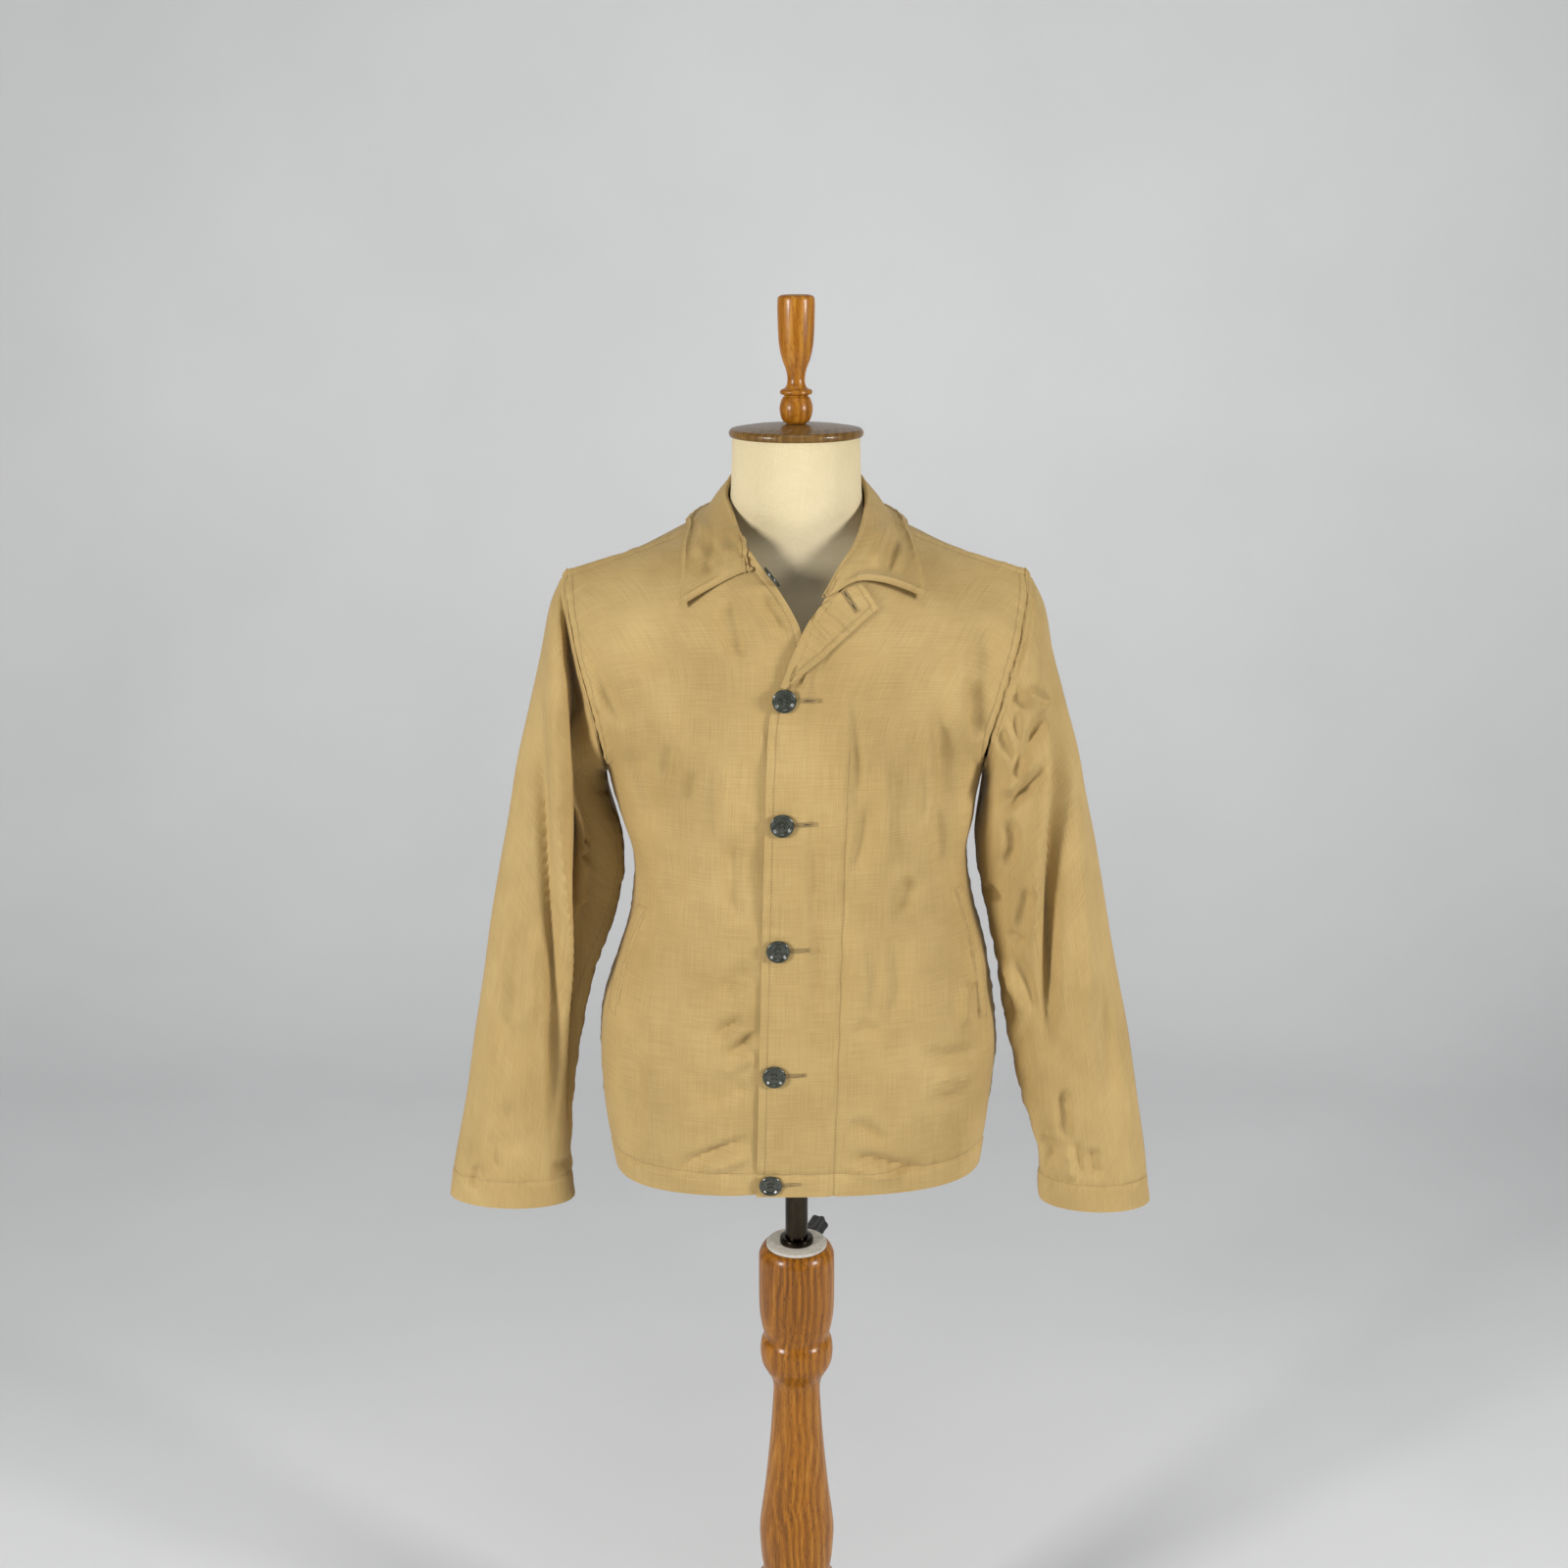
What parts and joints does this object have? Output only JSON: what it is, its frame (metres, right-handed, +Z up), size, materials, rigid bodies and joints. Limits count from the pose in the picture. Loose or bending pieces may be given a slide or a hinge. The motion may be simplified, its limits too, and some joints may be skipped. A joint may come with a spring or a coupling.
{
  "type": "coach jacket on a dress form and stand",
  "caption": "Buttoned light cotton coach jacket with a pointed collar, worn by a limbless dress form on a turned wooden stand with a clamp knob.",
  "frame": {"origin": "on the floor under the centre of the base and pole", "axes": "+Z up along the pole, the jacket's front faces -Y, +X is the wearer's left"},
  "size_m": [0.719, 0.38, 1.588],
  "materials": {
    "cloth": "khaki cotton, fine plain weave, slight sheen",
    "button": "polished dark olive resin",
    "form_cover": "cream stretch cotton",
    "wood": "orange-brown stained beech, satin varnish",
    "cap_wood": "darker stained wood, satin varnish",
    "steel": "dark plated steel tube",
    "plate": "grey washer disc",
    "knob": "black moulded plastic"
  },
  "bodies": {
    "stand": {"base": "wood", "column": "wood", "column_plate": "plate"},
    "swivel": {"pole_collar": "steel"},
    "form": {"pole": "steel", "torso_form": "form_cover", "neck_cap": "cap_wood", "finial": "wood", "front_left": "cloth", "front_right": "cloth", "facing_left": "cloth", "back": "cloth", "sleeve_left": "cloth", "sleeve_right": "cloth", "collar": "cloth", "pocket_left": "cloth", "pocket_right": "cloth", "button_1": "button", "button_2": "button", "button_3": "button", "button_4": "button", "button_5": "button", "button_6": "button", "cuff_button_left": "button", "cuff_button_right": "button"},
    "knob": {"clamp_knob": "knob"}
  },
  "joints": [
    {"name": "pole_turn", "type": "hinge", "parent": "stand", "child": "swivel", "pos_m": [0, 0, 0.63], "axis": [0, 0, 1], "continuous": true},
    {"name": "pole_height", "type": "slide", "parent": "swivel", "child": "form", "axis": [0, 0, 1], "range_m": [-0.04, 0.12]},
    {"name": "knob_turn", "type": "hinge", "parent": "stand", "child": "knob", "pos_m": [0.0195, 0.0567, 0.609], "axis": [0.3256, 0.9455, 0], "continuous": true}
  ]
}
